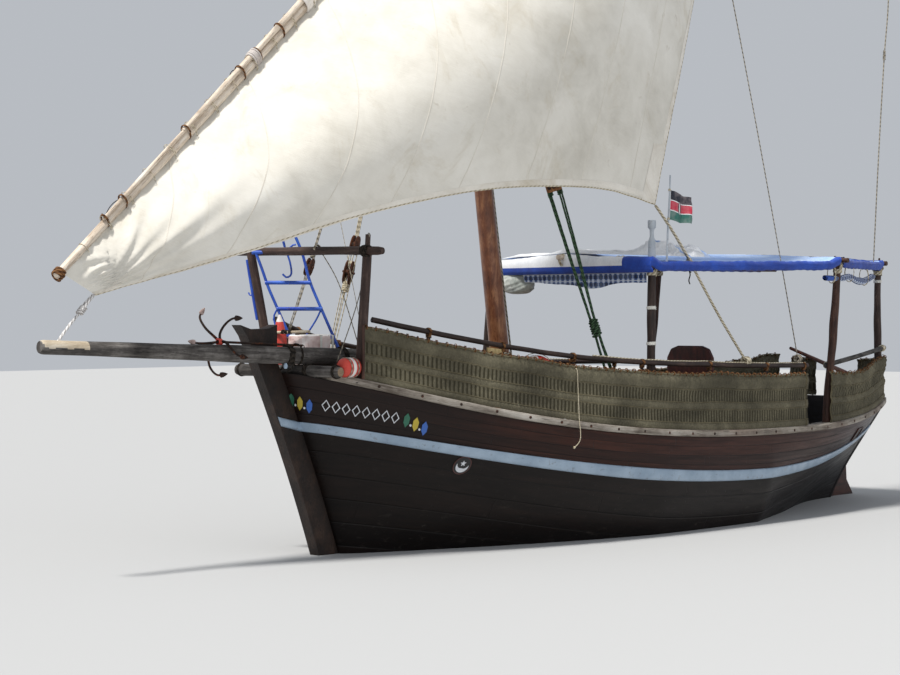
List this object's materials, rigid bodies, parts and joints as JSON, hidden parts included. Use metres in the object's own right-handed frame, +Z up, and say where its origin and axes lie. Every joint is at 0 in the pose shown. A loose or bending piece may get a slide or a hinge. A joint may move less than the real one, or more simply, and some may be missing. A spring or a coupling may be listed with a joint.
{
  "type": "dhow sailing boat",
  "caption": "Planked wooden dhow afloat with a lateen sail on a raking mast, aft awning, woven side screens, bowsprit, rudder and propeller.",
  "frame": {"origin": "amidships on the centreline, at the waterline", "axes": "+X to the bow, +Y to port, +Z up"},
  "size_m": [14.1782, 3.35, 14.4331],
  "materials": {
    "dark_wood": "oiled, nearly black brown",
    "red_wood": "varnished red brown",
    "weathered_wood": "bare, grey and weathered",
    "deck_wood": "bare planks",
    "mast_wood": "varnished orange brown",
    "pale_spar": "pale weathered pole",
    "white_paint": "white gloss paint on wood",
    "woven_mat": "woven palm leaf",
    "canvas": "off-white sailcloth",
    "blue_cloth": "blue tarpaulin",
    "checked_cloth": "blue and white checked cloth",
    "flag_cloth": "striped bunting",
    "blue_paint": "blue paint on steel tube",
    "iron": "rusty",
    "red_float": "red plastic with white bands",
    "wrapped_box": "box wrapped in pale sheeting",
    "green_rope": "dark green rope",
    "pale_rope": "pale weathered rope",
    "bronze": "cast bronze"
  },
  "bodies": {
    "hull": {"hull_planking": "dark_wood", "keel": "dark_wood", "stem_post": "dark_wood", "stern_post": "dark_wood", "transom": "dark_wood", "rub_strake_port": "white_paint", "rub_strake_starboard": "white_paint", "gunwale_port": "weathered_wood", "gunwale_starboard": "weathered_wood", "bench_port": "deck_wood", "bench_starboard": "deck_wood", "main_deck": "deck_wood", "foredeck": "deck_wood", "mast_thwart": "red_wood", "mast_step": "red_wood", "engine_block": "iron", "helm_box": "red_wood", "bowsprit": "weathered_wood", "cathead_log": "weathered_wood", "gallows": "red_wood", "grapnel_anchor": "iron", "boarding_ladder": "blue_paint", "marker_buoy": "red_float", "deck_chest": "wrapped_box", "float_red": "red_float", "lifebuoy": "red_float", "mat_port": "woven_mat", "mat_port_aft": "woven_mat", "mat_starboard": "woven_mat", "mat_starboard_aft": "woven_mat", "mat_stern_port": "woven_mat", "mat_stern_starboard": "woven_mat", "rail_port": "dark_wood", "rail_starboard": "dark_wood", "stern_rail": "pale_spar", "awning_side_port": "red_wood", "awning_side_starboard": "red_wood", "awning_bow_pole": "red_wood", "awning_mid_pole": "red_wood", "awning_stern_pole": "red_wood", "awning_ridge_pole": "pale_spar", "canopy": "blue_cloth", "canopy_aft": "blue_cloth", "canopy_valance": "checked_cloth", "flagstaff": "pale_spar", "flag": "flag_cloth", "mast": "mast_wood", "stay_port": "green_rope", "stay_starboard_fore": "pale_rope", "stay_starboard_aft": "pale_rope", "hanging_cord": "pale_rope"},
    "rig": {"yard": "pale_spar", "sail": "canvas"},
    "rudder": {"rudder": "dark_wood", "tiller": "red_wood"},
    "propeller": {"propeller": "bronze"}
  },
  "joints": [
    {"name": "rig_swing", "type": "hinge", "parent": "hull", "child": "rig", "pos_m": [8.373, 0, 2.857], "axis": [0.7391, -0.0281, -0.673], "range_deg": [0, 45]},
    {"name": "rudder_steer", "type": "hinge", "parent": "hull", "child": "rudder", "pos_m": [-4.7348, 0, -0.925], "axis": [-0.2516, 0, 0.9678], "range_deg": [-35, 35]},
    {"name": "propeller_spin", "type": "hinge", "parent": "hull", "child": "propeller", "pos_m": [-4.33, 0, -0.7], "axis": [1, 0, 0], "continuous": true}
  ]
}
